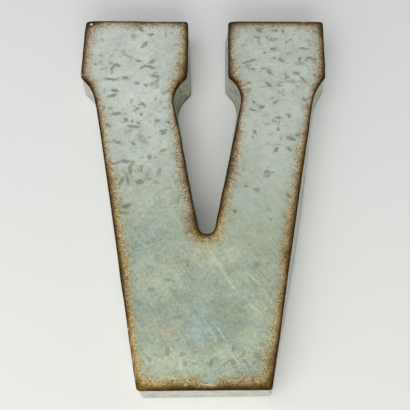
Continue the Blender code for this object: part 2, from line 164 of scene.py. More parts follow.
# Rust that creeps in from the edge, stretch by stretch round the outline.
# At each place: x, y, how far it reaches in, how orange it is and how speckled it is.
RUST = {
    "foot": (
        (-45, -151, 8.5, 1.0, 0.8), (-34, -152, 6.0, 0.85, 0.5), (-14, -152, 7.5, 0.65, 0.5),
        (4, -152, 3.5, 0.3, 0.4), (15, -152, 8.0, 0.5, 0.5), (34, -152, 7.5, 0.45, 0.35),
        (45, -151, 11.5, 0.6, 0.8),
    ),
    "right leg, outside": (
        (49, -136, 7.5, 0.5, 0.6), (53, -110, 5.0, 0.5, 0.4), (58, -86, 5.0, 0.5, 0.4),
        (66, -37, 7.0, 0.35, 0.4), (72, -6, 6.0, 0.4, 0.4), (78, 30, 6.0, 0.45, 0.4),
        (84, 62, 4.5, 0.3, 0.4), (88, 80, 3.0, 0.2, 0.4),
    ),
    "right serif, side": (
        (93, 90, 4.5, 0.1, 0.7), (98.5, 98, 9.0, 0.1, 1.0), (99.5, 110, 7.0, 0.15, 0.8),
        (99.5, 130, 5.0, 0.1, 0.4), (98, 151, 10.5, 0.0, 0.5),
    ),
    "right serif, top": (
        (86, 152.5, 6.0, 0.0, 0.2), (68, 152.5, 5.0, 0.0, 0.1), (36, 152.5, 6.0, 0.0, 0.1),
        (20, 152, 12.5, 0.0, 0.3),
    ),
    "right serif, inner side": (
        (20, 138, 4.0, 0.0, 0.3), (20, 124, 4.0, 0.0, 0.4), (20, 104, 6.5, 0.3, 0.5),
        (23, 94, 6.5, 0.3, 0.6), (28, 83, 4.0, 0.1, 0.5),
    ),
    "right leg, inside": (
        (28, 70, 3.5, 0.2, 0.5), (22, 38, 6.0, 0.25, 0.6), (18, 18, 7.5, 0.2, 0.7),
        (12, -14, 6.0, 0.45, 0.6), (9, -31, 3.5, 0.7, 0.7),
    ),
    "crotch": ((3, -39, 6.0, 0.2, 0.5), (-4, -34, 9.5, 0.1, 0.5)),
    "left leg, inside": (
        (-8.5, -12, 5.5, 0.0, 0.7), (-13, 12, 6.5, 0.25, 0.8), (-17, 33, 4.5, 0.25, 0.8),
        (-20, 50, 4.5, 0.3, 0.9), (-24, 76, 3.0, 0.1, 0.7),
    ),
    "left serif, inner side": (
        (-18, 93, 6.5, 0.3, 0.6), (-14, 102, 10.5, 0.25, 0.3), (-13.5, 118, 6.0, 0.45, 0.3),
        (-13.5, 138, 6.0, 0.45, 0.45), (-14, 150, 7.0, 0.2, 0.4),
    ),
    "left serif, top": (
        (-28, 152.5, 4.0, 0.1, 0.1), (-55, 152.5, 6.0, 0.1, 0.1), (-79, 152.5, 4.0, 0.2, 0.1),
        (-98, 151, 15.5, 0.1, 1.1),
    ),
    "left serif, side": (
        (-99.5, 141, 5.5, 0.1, 0.4), (-99.5, 124, 5.5, 0.3, 0.1), (-99.5, 108, 6.0, 0.5, 0.1),
        (-96, 93, 6.0, 0.3, 0.2),
    ),
    "left leg, outside": (
        (-88, 79, 4.5, 0.1, 0.3), (-83, 55, 5.0, 0.7, 0.4), (-79, 34, 3.5, 0.5, 0.4),
        (-73, 0, 6.5, 0.65, 0.5), (-67, -35, 5.0, 0.7, 0.8), (-61, -70, 6.0, 0.7, 0.9),
        (-57, -92, 4.0, 0.7, 0.5), (-53, -114, 4.0, 1.0, 0.4), (-49, -138, 3.5, 1.0, 0.5),
    ),
}
RUST_REACH = 6.0

# Zinc flecks large enough to place one by one, dark ones and faint ones:
# x, y, half length, half width, turn in degrees
DARK_FLECKS = (
    (-52.5, 144.5, 2.9, 1.0, -60), (-44, 139, 2.5, 0.7, 10), (-49.5, 129, 3.3, 1.0, 45),
    (-53.5, 113, 2.4, 0.7, -15), (-43, 112.5, 2.9, 1.1, 35), (-89, 110, 1.1, 0.7, 0),
    (-21, 110, 2.1, 1.1, -55), (-71.5, 109, 2.7, 1.0, -20), (-50, 107.5, 2.6, 0.6, 40),
    (-44.5, 107.5, 4.2, 0.8, -20), (-74.5, 107, 3.1, 0.8, 50), (-40, 98.5, 3.8, 0.9, -10),
    (-64, 97, 2.5, 1.0, -15), (-75.5, 95.5, 4.7, 0.7, -5), (-54, 92, 1.8, 0.7, -10),
    (-47.5, 90, 1.6, 0.7, -15), (-72, 85, 2.8, 1.0, -5), (-74.5, 80, 3.9, 1.0, 20),
    (-49, 72.5, 2.7, 0.8, -50), (-54.5, 67.5, 2.6, 0.8, 30), (-70.5, 63.5, 4.0, 1.0, 10),
    (-62, 58, 1.8, 1.0, 0), (-37.5, 57, 2.0, 1.2, -15), (-28.5, 56, 1.6, 0.9, -15),
    (-76, 53, 2.1, 1.1, -40), (-55.5, 52, 4.6, 0.9, -5), (-32, 46, 2.0, 0.8, 30),
    (-68, 38, 3.7, 0.9, -25), (-55.5, 37, 1.8, 0.8, -45), (-32, 31, 2.8, 0.7, 15),
    (-42.5, 25, 2.4, 1.1, -80), (-60.5, 21.5, 3.4, 1.1, -5), (-68.5, 20, 6.3, 0.5, 15),
    (-57, 14, 3.4, 1.1, -85), (-58.5, 5, 3.7, 0.8, -75), (-63.5, 4.5, 3.5, 0.9, 65),
    (-49.5, 4, 2.9, 1.4, 20), (-59, -16, 4.5, 1.1, 15), (59, 143.5, 2.6, 0.8, -5),
    (46, 143.5, 2.2, 1.0, -30), (43.5, 137, 2.8, 0.8, -15), (83, 125.5, 3.9, 0.7, -5),
    (57.5, 125, 2.9, 0.7, -5), (86.5, 116.5, 2.5, 1.1, 0), (63, 114.5, 2.6, 1.2, -45),
    (37, 113, 5.4, 0.8, 20), (53.5, 102, 2.8, 1.0, -45), (75, 102, 2.8, 1.1, -15),
    (66.5, 99, 3.0, 0.7, -85), (80, 96, 4.1, 0.7, -50), (36, 92.5, 1.6, 0.9, -15),
    (52, 91, 3.2, 1.0, -45), (61, 90, 1.6, 0.7, -15), (80.5, 77, 2.1, 0.9, -30),
    (57, 74.5, 2.3, 0.6, 40), (46, 70, 2.1, 1.0, 10), (39, 67, 2.6, 0.7, -15), (59, 60, 2.4, 0.8, -5),
    (40, 47, 2.2, 0.8, -75), (73, 44.5, 2.0, 0.6, -25), (68, 41.5, 3.4, 1.3, -25),
    (66, 32.5, 2.8, 0.8, -45), (56, 32, 3.3, 0.9, 50), (47.5, 12.5, 2.4, 0.6, 45),
    (31.5, 0.5, 2.2, 0.8, -10), (39, -2.5, 1.6, 0.8, -40), (63.5, -7, 2.3, 0.9, -65),
    (23, -20, 1.7, 0.8, -10), (66, 143, 1.6, 1.0, -40), (52.5, 136.5, 1.1, 0.8, 0),
    (49.5, 121.5, 1.1, 0.7, 0), (78.5, 116, 2.0, 0.8, 85), (57.5, 116.5, 1.1, 0.8, 0),
    (40, 105.5, 1.8, 0.8, 0), (47.5, 106, 1.2, 0.6, -20), (40, 74.5, 1.5, 0.8, -60),
    (67, 62, 2.0, 0.8, -50), (58.5, 50, 1.6, 0.7, 80), (-50, 63, 1.1, 0.8, 0), (-57, 57, 1.2, 0.8, 90),
    (-62, 58.5, 1.4, 1.1, 90), (-32.5, 48, 2.9, 0.8, 10),
)
FAINT_FLECKS = (
    (-58.5, 137.5, 2.8, 1.0, -65), (-63, 117.5, 4.1, 0.7, -20), (-60, 47.5, 3.5, 1.1, 35),
    (-48, 41, 4.6, 1.7, -55), (-22, 26, 6.7, 0.8, -80), (-60.5, 11.5, 3.5, 0.8, -60),
    (-43, 6.5, 2.9, 0.9, 10), (-37, 3.5, 2.3, 1.1, -15), (-20, -11.5, 2.6, 0.7, -90),
    (-63.5, -12, 3.4, 1.1, -80), (45.5, 132, 2.6, 0.8, -65), (70, 94, 3.8, 1.1, 0),
    (45.5, 145, 2.2, 0.7, 0), (60, 41.5, 2.1, 0.6, -85), (51, 12.5, 2.4, 0.5, 0),
    (49.5, -26.5, 1.3, 0.7, -15), (-41.5, -45.5, 1.8, 1.1, 0), (-34.5, -55.5, 1.2, 0.8, 20),
    (-12, -62, 2.9, 0.8, -90), (-26.5, -74, 3.1, 0.8, 0), (-38, -81.5, 2.2, 1.3, 10),
    (33.5, -47, 1.2, 0.8, 0), (38.5, -62, 2.4, 1.9, 0), (46.5, -62, 1.2, 0.8, 0),
    (-59, 137, 1.7, 1.6, 0), (-85, 134, 1.1, 0.8, 0), (-85, 118.5, 1.3, 1.0, 0),
    (-65.5, 119.5, 2.8, 0.9, -60), (-41, 91, 2.8, 1.5, 20), (-39, 77.5, 2.1, 0.8, 80),
    (-34.5, 74, 1.0, 0.8, 0), (-32, 68.5, 1.7, 1.0, 0), (-29, 56.5, 1.1, 1.0, 90),
    (7, -131, 1.4, 0.9, 0), (3, -135, 1.4, 1.0, 0), (-35, -128.5, 1.2, 0.9, 0),
    (23.5, -140, 1.2, 0.9, 0), (40, -120.5, 1.5, 1.1, -10), (37, -129, 1.8, 1.5, 0),
    (27, -126.5, 1.1, 1.0, 0), (20, -133.5, 1.4, 1.5, 0), (-6.5, -126.5, 1.2, 1.0, 0),
    (-15.5, -128, 1.8, 0.9, 0), (-13.5, -134.5, 1.5, 0.9, -90), (-26, -127.5, 1.2, 1.1, 0),
)

# How much wider a fleck is drawn than its table says, since its border is soft
FLECK_BREADTH = 1.35
# Slants at which the small flecks lie: degrees, and the length and width of the cells that they fill
FLECK_SLANTS = ((32, 4.6, 2.4), (-38, 3.8, 2.2), (78, 5.6, 2.6), (4, 6.2, 2.8))
# Heights up the letter between which the flecks thin out, and where they come back near the foot
FLECKS_THIN_OUT = (30, -20)
FOOT_FLECKS_BEGIN = (-112, -120)
FOOT_FLECKS_END = (-144, -136)

# Pale scrapes: x and y of one end, x and y of the other, half width
SCRAPES = (
    (-1, -44, 16, -72, 2.0),
    (8, -60, 26, -87, 1.1),
    (27, -64, 42, -80, 1.1),
    (40, -77, 53, -100, 1.0),
    (31, -90, 42, -102, 1.6),
    (2, -104, 10, -124, 0.8),
    (6, -104, 17, -122, 0.8),
    (13, -119, 27, -139, 0.9),
    (-18.5, -129, -14, -143, 1.2),
    (-44, 118, -26, 141, 0.7),
)

# Where the letter's edge was bent or filed off its true line: x, y, and how far it moved in x and y
EDGE_NUDGES = (
    (-99.5, 152.5, 0.5, -0.5),
    (-99.7, 139.0, -0.3, 0.0),
    (-92.0, 152.5, 0.0, 0.8),
    (-76.0, 152.5, 0.0, 0.7),
    (-60.0, 152.5, 0.0, 0.6),
    (-40.0, 152.5, 0.0, 0.25),
    (-20.0, 152.5, 0.1, 0.2),
    (-13.7, 142.0, 0.5, 0.0),
    (-13.7, 128.0, 0.4, 0.0),
    (-13.7, 110.0, 0.4, 0.0),
    (-17.5, 93.5, -0.5, 0.3),
    (-23.0, 84.0, -0.5, 0.0),
    (-19.0, 45.0, 0.7, 0.0),
    (-16.0, 29.0, 0.3, 0.0),
    (-4.5, -33.0, 0.3, 0.1),
    (1.0, -38.5, 0.0, 0.5),
    (6.5, -37.0, -0.7, 0.6),
    (10.0, -26.0, -0.8, 0.1),
    (13.0, -9.0, -0.7, 0.1),
    (16.0, 9.0, -0.2, 0.0),
    (24.5, 52.0, 0.5, 0.0),
    (28.0, 70.0, 0.7, 0.0),
    (28.5, 82.0, 0.9, 0.0),
    (24.0, 92.5, 0.8, 0.5),
    (20.0, 103.0, -0.3, 0.0),
    (19.8, 151.5, 0.4, -0.2),
    (28.0, 152.5, 0.0, 0.9),
    (42.0, 152.5, 0.0, 0.8),
    (58.0, 152.5, 0.0, 0.8),
    (74.0, 152.5, 0.0, 0.8),
    (90.0, 152.5, 0.0, 0.6),
    (99.5, 149.0, 0.5, 0.4),
    (99.5, 114.0, -0.2, 0.0),
    (99.5, 99.5, -0.9, 0.5),
    (88.0, 80.0, 0.4, 0.0),
    (82.0, 47.0, 0.5, 0.0),
    (79.0, 28.0, 0.2, 0.0),
    (62.0, -65.0, -0.2, 0.0),
    (53.0, -115.0, 0.2, 0.0),
    (42.0, -152.5, 0.0, 0.3),
    (24.0, -152.5, 0.0, 0.2),
    (-30.0, -152.5, 0.0, -0.3),
    (-44.0, -152.5, 0.0, -0.4),
    (-48.5, -139.0, -0.3, 0.0),
    (-53.0, -117.0, -0.3, 0.0),
    (-60.5, -74.0, -0.4, 0.0),
    (-85.0, 65.0, -0.3, 0.0),
    (-87.5, 77.0, -0.8, 0.0),
    (-99.7, 106.0, -0.9, 0.0),
    (-99.7, 121.0, -0.6, 0.0),
)
NUDGE_REACH = 6.0
NUDGE_STAY = 0.05

# The chip at the top left corner, which has a dark ring of rust round it
CORNER_CHIP = (-94.7, 149.1)
CHIP_RING_RADIUS = 2.3
# Spots where the edge is rubbed or chipped back to metal: x, y, half width, half height, strength
CHIPS = (
    (*CORNER_CHIP, 1.3, 1.2, 0.9),
    (-99.6, 99.8, 0.5, 1.0, 0.75),
    (3.0, -148.8, 2.4, 0.8, 0.7),
    (6.5, -149.4, 1.8, 0.5, 0.6),
    (-13.0, -149.0, 1.3, 0.9, 0.45),
    (17.0, -146.3, 1.1, 1.3, 0.35),
    (36.0, -147.0, 1.1, 0.8, 0.35),
    (84.0, 152.4, 1.2, 0.8, 0.75),
    (-53.8, -110.5, 0.7, 1.3, 0.5),
    (-51.6, -121.0, 0.7, 5.5, 0.25),
    (-49.6, -131.0, 0.7, 5.5, 0.3),
    (-47.7, -142.0, 0.7, 5.0, 0.25),
)


def tone(red, green, blue):
    """A colour as seen, 0 to 255 a channel, in the linear values that a shader takes."""
    shares = [channel / 255 for channel in (red, green, blue)]
    return tuple(s / 12.92 if s <= 0.04045 else ((s + 0.055) / 1.055) ** 2.4 for s in shares)


# Face colours
ZINC_AT_TOP = tone(192, 200, 191)
ZINC_AT_FOOT = tone(158, 168, 149)
OLIVE_TINT = tone(160, 166, 136)
BLUE_TINT = tone(146, 164, 160)
FLECK_HALO = tone(158, 164, 136)
FLECK_GREY = tone(134, 141, 132)
FLECK_OLIVE = tone(132, 140, 112)
SCRAPED_ZINC = tone(196, 206, 182)
OUTER_STAIN = tone(128, 124, 30)
BROWN_STAIN = tone(184, 122, 0)
ORANGE_STAIN = tone(252, 190, 10)
DARK_RUST = tone(55, 33, 1)
ORANGE_RUST = tone(102, 73, 26)
EDGE_LINE_DARK = tone(46, 30, 10)
EDGE_LINE_BROWN = tone(78, 58, 26)
CHIP_RING_COLOUR = tone(58, 42, 28)
CHIPPED_ZINC = tone(206, 198, 166)

# Wall colours
WARM_ZINC = tone(206, 204, 188)
COOL_ZINC = tone(198, 201, 188)
WALL_CRYSTAL = tone(166, 174, 160)
WALL_DARK_CRYSTAL = tone(132, 144, 126)
WALL_CLOUD = tone(164, 170, 152)
WALL_PALE_CLOUD = tone(222, 222, 206)
LIP_STAIN = tone(130, 118, 84)
HEM_DARK_BAND = tone(112, 102, 76)
WALL_DUST = tone(120, 122, 104)
# The green cast given to the returns where their painted shade is deep
PAINTED_SHADE_TINT = (1, 1.07, 0.88)

# Strap, solder and paper colours
PLATE_PALE = tone(176, 180, 178)
PLATE_GREY = tone(158, 164, 162)
PLATE_RUBBED = tone(196, 198, 196)
PLATE_DUST = tone(112, 110, 100)
SOLDER_GREY = tone(150, 152, 150)
SOLDER_PALE = tone(186, 188, 184)
FLUX_BROWN = tone(104, 88, 58)
PAPER_IN_PAINTED_DIM_LIGHT = tone(230, 232, 232)
PAPER_IN_PAINTED_WARM_LIGHT = tone(233, 233, 228)

# The bare zinc's streaks and crystals: their turn in degrees, and their sizes along and across it
STREAK_TURN = -58
STREAK_SIZE = (22, 2, 1)
CRYSTAL_TURN = 20
CRYSTAL_SIZE = (7, 4, 1)
WALL_CRYSTAL_SIZE = (7, 7, 5)
# Heights up the letter between which the bare zinc turns from its top colour to its foot colour
ZINC_DARKENS = (75, -60)
# The part of the right arm with the smoothest zinc: middle, half sizes, turn in degrees
CALM_ARM = ((48, 8), (22, 50), -8)
# Soft patches where the bare zinc differs: middle, half sizes, turn in degrees, colour, strength
PATCHES = {
    "right arm": ((64, 112), (44, 62), 0, tone(180, 188, 177), 0.75),
    "right arm, inner edge": ((30, 128), (16, 34), 0, tone(172, 181, 168), 0.4),
    "left arm, by the gap": ((-24, 118), (14, 40), 0, tone(178, 186, 174), 0.6),
    "crotch": ((6, -51), (19, 12), -10, tone(178, 184, 160), 0.7),
    "crotch stain": ((6, -40), (16, 12), 35, tone(172, 164, 128), 0.5),
    "body, upper left": ((-42, -50), (14, 22), 0, tone(146, 160, 150), 0.5),
    "body, low left": ((-26, -91), (28, 10), 0, tone(142, 154, 138), 0.6),
    "body, middle": ((15, -101), (16, 22), 20, tone(136, 148, 132), 0.7),
    "body, low middle": ((7, -112), (9, 10), 0, tone(136, 150, 138), 0.45),
    "body, left": ((-34, -72), (16, 16), 10, tone(172, 181, 161), 0.6),
    "body, right": ((42, -104), (11, 15), 20, tone(168, 177, 152), 0.6),
    "blue streaks": ((-4, -106), (9, 22), -8, tone(150, 170, 166), 0.5),
    "blue by the foot": ((33, -137), (11, 7), 0, tone(158, 174, 168), 0.5),
    "foot, left": ((-27, -134), (24, 11), 0, tone(176, 185, 163), 0.85),
    "foot, middle": ((12, -133), (20, 9), 0, tone(176, 185, 160), 0.6),
    "foot, right": ((36, -120), (14, 10), -20, tone(172, 181, 156), 0.5),
    "tan blot": ((-27, -112), (7, 4), 0, tone(166, 164, 140), 0.7),
}


# Shader building

# A Mix node's sockets for colours, by number, since its sockets for numbers have the same names
MIX_SHARE = 0
MIX_FIRST = 6
MIX_SECOND = 7
MIX_RESULT = 2


class Value:
    """A number that varies over a surface: a socket with arithmetic."""

    def __init__(self, finish, socket):
        self.finish = finish
        self.socket = socket

    def math(self, operation, first, second=0.0):
        return self.finish.value("ShaderNodeMath", {"operation": operation}, {0: first, 1: second})

    def __add__(self, other):
        return self.math("ADD", self, other)

    def __radd__(self, other):
        return self.math("ADD", other, self)

    def __sub__(self, other):
        return self.math("SUBTRACT", self, other)

    def __rsub__(self, other):
        return self.math("SUBTRACT", other, self)

    def __mul__(self, other):
        return self.math("MULTIPLY", self, other)

    def __rmul__(self, other):
        return self.math("MULTIPLY", other, self)

    def __truediv__(self, other):
        return self.math("DIVIDE", self, other)

    def __rtruediv__(self, other):
        return self.math("DIVIDE", other, self)

    def lowest(self, other):
        return self.math("MINIMUM", self, other)

    def highest(self, other):
        return self.math("MAXIMUM", self, other)

    def fade(self, none, full):
        """0 where the number is at none and 1 where it is at full, with a soft step between them."""
        settings = {"interpolation_type": "SMOOTHSTEP", "clamp": True}
        return self.finish.value("ShaderNodeMapRange", settings, {0: self, 1: none, 2: full})

    def bell(self):
        """1 where the number is 0, falling away as a bell curve does on both sides."""
        return self.math("EXPONENT", self * self * -1)


class Finish:
    """A material in the making.

    A place on it is in millimetres from the letter's middle. The plan is that place seen from the front,
    with 1 for its height, so that one dot product gives a distance across a mark.
    """

    def __init__(self, name):
        self.material = bpy.data.materials.new(name)
        self.material.use_nodes = True
        self.tree = self.material.node_tree
        self.shader = self.tree.nodes["Principled BSDF"]
        coordinates = self.node("ShaderNodeTexCoord").outputs["Object"]
        self.place = self.turned(coordinates, size=(MM,) * 3)
        self.plan = self.vector("MULTIPLY_ADD", self.place, (1, 1, 0), (0, 0, 1))

    def node(self, kind, settings=None, inputs=None):
        made = self.tree.nodes.new(kind)
        for name, setting in (settings or {}).items():
            setattr(made, name, setting)
        for name, fed in (inputs or {}).items():
            self.feed(made.inputs[name], fed)
        return made

    def feed(self, socket, fed):
        if isinstance(fed, Value):
            fed = fed.socket
        if isinstance(fed, bpy.types.NodeSocket):
            self.tree.links.new(fed, socket)
        elif socket.type == "RGBA":
            socket.default_value = (*fed, 1)
        else:
            socket.default_value = fed

    def value(self, kind, settings=None, inputs=None, output=0):
        return Value(self, self.node(kind, settings, inputs).outputs[output])

    def vector(self, operation, *fed):
        made = self.node("ShaderNodeVectorMath", {"operation": operation}, dict(enumerate(fed)))
        return made.outputs["Vector"]

    def coordinate(self, axis):
        """How far along x, y or z a point lies."""
        return self.value("ShaderNodeSeparateXYZ", {}, {0: self.place}, "XYZ".index(axis))

    def attribute(self, name):
        return self.value("ShaderNodeAttribute", {"attribute_name": name}, {}, "Fac")

    def turned(self, place, centre=(0, 0), degrees=0, size=(1, 1, 1)):
        """A place seen from a mark's centre, along its turn, in its own sizes."""
        inputs = {
            "Vector": place,
            "Location": (*centre, 0),
            "Rotation": (0, 0, math.radians(degrees)),
            "Scale": size,
        }
        return self.node("ShaderNodeMapping", {"vector_type": "TEXTURE"}, inputs).outputs[0]

    def grain(self, size, detail=2.0, roughness=0.5, place=None, distortion=0.0):
        """Cloudy noise about 0.5, with features of a size."""
        inputs = {
            "Vector": place or self.place,
            "Scale": 1 / size,
            "Detail": detail,
            "Roughness": roughness,
            "Distortion": distortion,
        }
        return self.value("ShaderNodeTexNoise", {}, inputs)

    def warped(self, place, size, reach, depth=0):
        """A place pushed about by noise across the plan, so that a pattern on it has ragged outlines."""
        inputs = {"Vector": self.place, "Scale": 1 / size, "Detail": 2.0}
        clouds = self.node("ShaderNodeTexNoise", {}, inputs).outputs["Color"]
        centred = self.vector("SUBTRACT", clouds, (0.5,) * 3)
        return self.vector("MULTIPLY_ADD", centred, (2 * reach, 2 * reach, 2 * depth), place)

    def stepped(self, plan, size, share):
        """The plan drawn in to the middles of small cells, so that marks on it have angular outlines."""
        inputs = {"Vector": plan, "Scale": 1 / size}
        made = self.node("ShaderNodeTexVoronoi", {"voronoi_dimensions": "2D"}, inputs)
        kept = self.vector("MULTIPLY", plan, (1 - share, 1 - share, 1))
        return self.vector("MULTIPLY_ADD", made.outputs["Position"], (share, share, 0), kept)

    def cells(self, place):
        """A pattern of cells one unit across: three numbers from 0 to 1, random from cell to cell."""
        made = self.node("ShaderNodeTexVoronoi", {"feature": "F1"}, {"Vector": place, "Scale": 1.0})
        parts = self.node("ShaderNodeSeparateColor", {}, {0: made.outputs["Color"]})
        return [Value(self, part) for part in parts.outputs]

    def mix(self, share, first, second):
        """The first colour where the share is 0 and the second where it is 1."""
        settings = {"data_type": "RGBA", "blend_type": "MIX"}
        inputs = {MIX_SHARE: share, MIX_FIRST: first, MIX_SECOND: second}
        return self.node("ShaderNodeMix", settings, inputs).outputs[MIX_RESULT]

    def scaled(self, colour, times):
        """A colour made lighter or darker."""
        made = self.node("ShaderNodeVectorMath", {"operation": "SCALE"}, {0: colour, 3: times})
        return made.outputs["Vector"]

    def across(self, plan, centre, half_size, degrees):
        """How far a place on the plan is from a mark's middle in one direction, counted in half sizes."""
        along = (math.cos(math.radians(degrees)) / half_size, math.sin(math.radians(degrees)) / half_size)
        offset = -centre[0] * along[0] - centre[1] * along[1]
        inputs = {0: plan, 1: (*along, offset)}
        return self.value("ShaderNodeVectorMath", {"operation": "DOT_PRODUCT"}, inputs, "Value")

    def ellipse(self, plan, centre, half_size, degrees=0):
        """The square of how far a place is from a mark's middle: 1 on its outline."""
        along = self.across(plan, centre, half_size[0], degrees)
        aside = self.across(plan, centre, half_size[1], degrees + 90)
        inputs = {0: aside, 1: aside, 2: along * along}
        return self.value("ShaderNodeMath", {"operation": "MULTIPLY_ADD"}, inputs)

    def finished(self, colour, roughness, metallic, height):
        """Feeds the shader. The height is in millimetres."""
        bump = self.node("ShaderNodeBump", {}, {"Strength": 1.0, "Distance": MM, "Height": height})
        self.feed(self.shader.inputs["Base Color"], colour)
        self.feed(self.shader.inputs["Roughness"], roughness)
        self.feed(self.shader.inputs["Metallic"], metallic)
        self.feed(self.shader.inputs["Normal"], bump.outputs["Normal"])
        return self.material


# Finishes

def scattered_flecks(finish, place, share):
    """Crystals that turned dark, at several slants, where share says how many of them did."""
    found = None
    for degrees, length, width in FLECK_SLANTS:
        slanted = finish.turned(place, (degrees, 0), degrees, (length, width, 1))
        present, depth, _ = finish.cells(slanted)
        fleck = (share - present).fade(0.0, 0.01) * (depth * 0.65 + 0.35)
        found = fleck if found is None else found.highest(fleck)
    return found


def placed_flecks(finish, place, flecks):
    """How far the nearest fleck of a table is, as the square of the distance in its own half sizes."""
    nearest = None
    for x, y, half_length, half_width, degrees in flecks:
        distance = finish.ellipse(place, (x, y), (half_length, half_width * FLECK_BREADTH), degrees)
        nearest = distance if nearest is None else nearest.lowest(distance)
    return nearest


def scrapes(finish, place):
    """Pale scrapes, strongest along their middles."""
    found = None
    for x, y, end_x, end_y, half_width in SCRAPES:
        half_length = math.hypot(end_x - x, end_y - y) / 2
        degrees = math.degrees(math.atan2(end_y - y, end_x - x))
        middle = ((x + end_x) / 2, (y + end_y) / 2)
        scrape = finish.ellipse(place, middle, (half_length, half_width), degrees).fade(1.0, 0.05)
        found = scrape if found is None else found.highest(scrape)
    return found


def chips(finish, place):
    """Spots chipped or rubbed back to metal, each as strong as its table says."""
    found = None
    for x, y, half_width, half_height, strength in CHIPS:
        chip = finish.ellipse(place, (x, y), (half_width, half_height)).fade(1.6, 0.5) * strength
        found = chip if found is None else found.highest(chip)
    return found


def bare_zinc(finish, dust, mottle):
    """The zinc of the face before it rusted: pale at the top, darker and patchy towards the foot."""
    low_down = finish.coordinate("Y").fade(*ZINC_DARKENS)
    cloud = finish.grain(30, 3.0, 0.6)
    blotch = finish.grain(9, 4.0, 0.65, distortion=0.6)
    zinc = finish.mix(low_down, ZINC_AT_TOP, ZINC_AT_FOOT)
    plan = finish.warped(finish.plan, 16, 7)
    for middle, half_sizes, degrees, colour, strength in PATCHES.values():
        patch = finish.ellipse(plan, middle, half_sizes, degrees).fade(1.9, 0.1)
        zinc = finish.mix(patch * strength, zinc, colour)
    tint = finish.grain(13, 3.0, 0.6)
    zinc = finish.mix(tint.fade(0.52, 0.68) * low_down * 0.35, zinc, OLIVE_TINT)
    zinc = finish.mix(tint.fade(0.48, 0.34) * low_down * 0.35, zinc, BLUE_TINT)
    along_streaks = finish.turned(finish.plan, degrees=STREAK_TURN, size=STREAK_SIZE)
    streak = finish.grain(1.0, 3.0, 0.6, place=along_streaks)
    ragged = finish.warped(finish.plan, 5, 1.2)
    crystal, _, _ = finish.cells(finish.turned(ragged, degrees=CRYSTAL_TURN, size=CRYSTAL_SIZE))
    calm = finish.ellipse(finish.plan, *CALM_ARM).fade(3.0, 0.6)
    shade = (streak - 0.5) * low_down * 0.5 + (crystal - 0.5) * 0.08 + (cloud - 0.5) * 0.34
    grainy = (blotch - 0.5) * (low_down * 0.15 + 0.4) + (mottle - 0.5) * (low_down * 0.3 + 0.36)
    shade = shade + (grainy + (dust - 0.5) * (low_down * 0.12 + 0.54)) * (1 - calm * 0.45)
    return finish.scaled(zinc, shade + 1)


def rust_cover(finish, rim):
    """How much rust covers the zinc, from 1 at the edge to 0 well inside: without and with its speckle."""
    inwards = rim / finish.attribute("rust_reach")
    bays = finish.grain(8, 3.0, 0.6)
    nibbles = finish.grain(2.4, 2.0)
    ragged = (bays - 0.5) * 1.1 + (nibbles - 0.5) * 0.7 + 0.96
    grit = (finish.grain(0.72, 2.0, 0.65) - 0.5) * (finish.attribute("rust_speckle") * 3.2 + 1.8)
    even = (inwards * ragged.highest(0.45)).bell()
    speckled = (inwards * (ragged + grit).highest(0.45)).bell()
    return even, speckled


def flecked(finish, zinc, mottle):
    """Zinc with its dark crystals: large ones in their places, small ones scattered, olive about them."""
    y = finish.coordinate("Y")
    low_down = y.fade(*FLECKS_THIN_OUT)
    near_foot = y.fade(*FOOT_FLECKS_BEGIN) * y.fade(*FOOT_FLECKS_END)
    clusters = finish.grain(24, 2.0).fade(0.40, 0.62)
    share = (clusters * 0.8 + 0.35) * (0.036 - low_down * 0.024 + near_foot * 0.03)
    ragged = finish.warped(finish.plan, 3.0, 0.7)
    scattered = scattered_flecks(finish, ragged, share)
    angular = finish.stepped(ragged, 1.7, 0.55)
    dark = placed_flecks(finish, angular, DARK_FLECKS)
    faint = placed_flecks(finish, angular, FAINT_FLECKS)
    flecks = dark.fade(1.9, 0.6).highest(faint.fade(1.9, 0.6) * 0.55).highest(scattered * 0.8)
    halo = dark.lowest(faint).fade(5.5, 1.2)
    variety = finish.grain(7, 2.0)
    zinc = finish.mix(halo * variety.fade(0.35, 0.6) * 0.30, zinc, FLECK_HALO)
    olive = variety.fade(0.42, 0.56).highest(low_down)
    fleck_colour = finish.scaled(finish.mix(olive, FLECK_GREY, FLECK_OLIVE), 1 - low_down * 0.2)
    return finish.mix(flecks * (mottle.fade(0.25, 0.6) * 0.35 + 0.60), zinc, fleck_colour)


def scraped(finish, zinc, dust):
    """Zinc with its pale scrapes, which break up where the dust is thin."""
    marks = scrapes(finish, finish.warped(finish.plan, 9, 1.2))
    return finish.mix(marks * (dust.fade(0.3, 0.65) * 0.45 + 0.22), zinc, SCRAPED_ZINC)


def rusted(finish, zinc, dust):
    """Zinc under its rust, from an olive stain inside to dark brown and a darker line at the edge.

    It gives the colour, and how much rust and how much of the line each place has.
    """
    rim = finish.attribute("rim_distance")
    orange = finish.attribute("rust_orange")
    even, rust = rust_cover(finish, rim)
    blurred = even * 0.65 + rust * 0.35
    zinc = finish.scaled(zinc, 1 - rim.fade(16, 5) * 0.045)
    stain = finish.mix(orange, BROWN_STAIN, ORANGE_STAIN)
    stain = finish.mix(blurred.fade(0.0, 0.5), OUTER_STAIN, stain)
    dark = finish.mix(orange.fade(0.75, 1.0), DARK_RUST, ORANGE_RUST)
    colour = finish.mix(blurred, zinc, finish.mix(blurred, stain, dark))
    speckle = ((even - rust) * even.fade(0.0, 0.45) * 1.5 + 1).highest(0.3)
    blotch = finish.grain(5, 3.0)
    colour = finish.scaled(colour, speckle + rust * ((dust - 0.5) * 1.6 + (blotch - 0.5) * 0.8))
    line = (rim + (finish.grain(3.0, 2.0) - 0.5) * 0.9).fade(1.5, 0.6)
    line_colour = finish.mix(finish.grain(4.0, 3.0).fade(0.45, 0.7), EDGE_LINE_DARK, EDGE_LINE_BROWN)
    colour = finish.mix(line * (0.88 - orange.fade(0.6, 1.0) * 0.6), colour, line_colour)
    return colour, rust, line


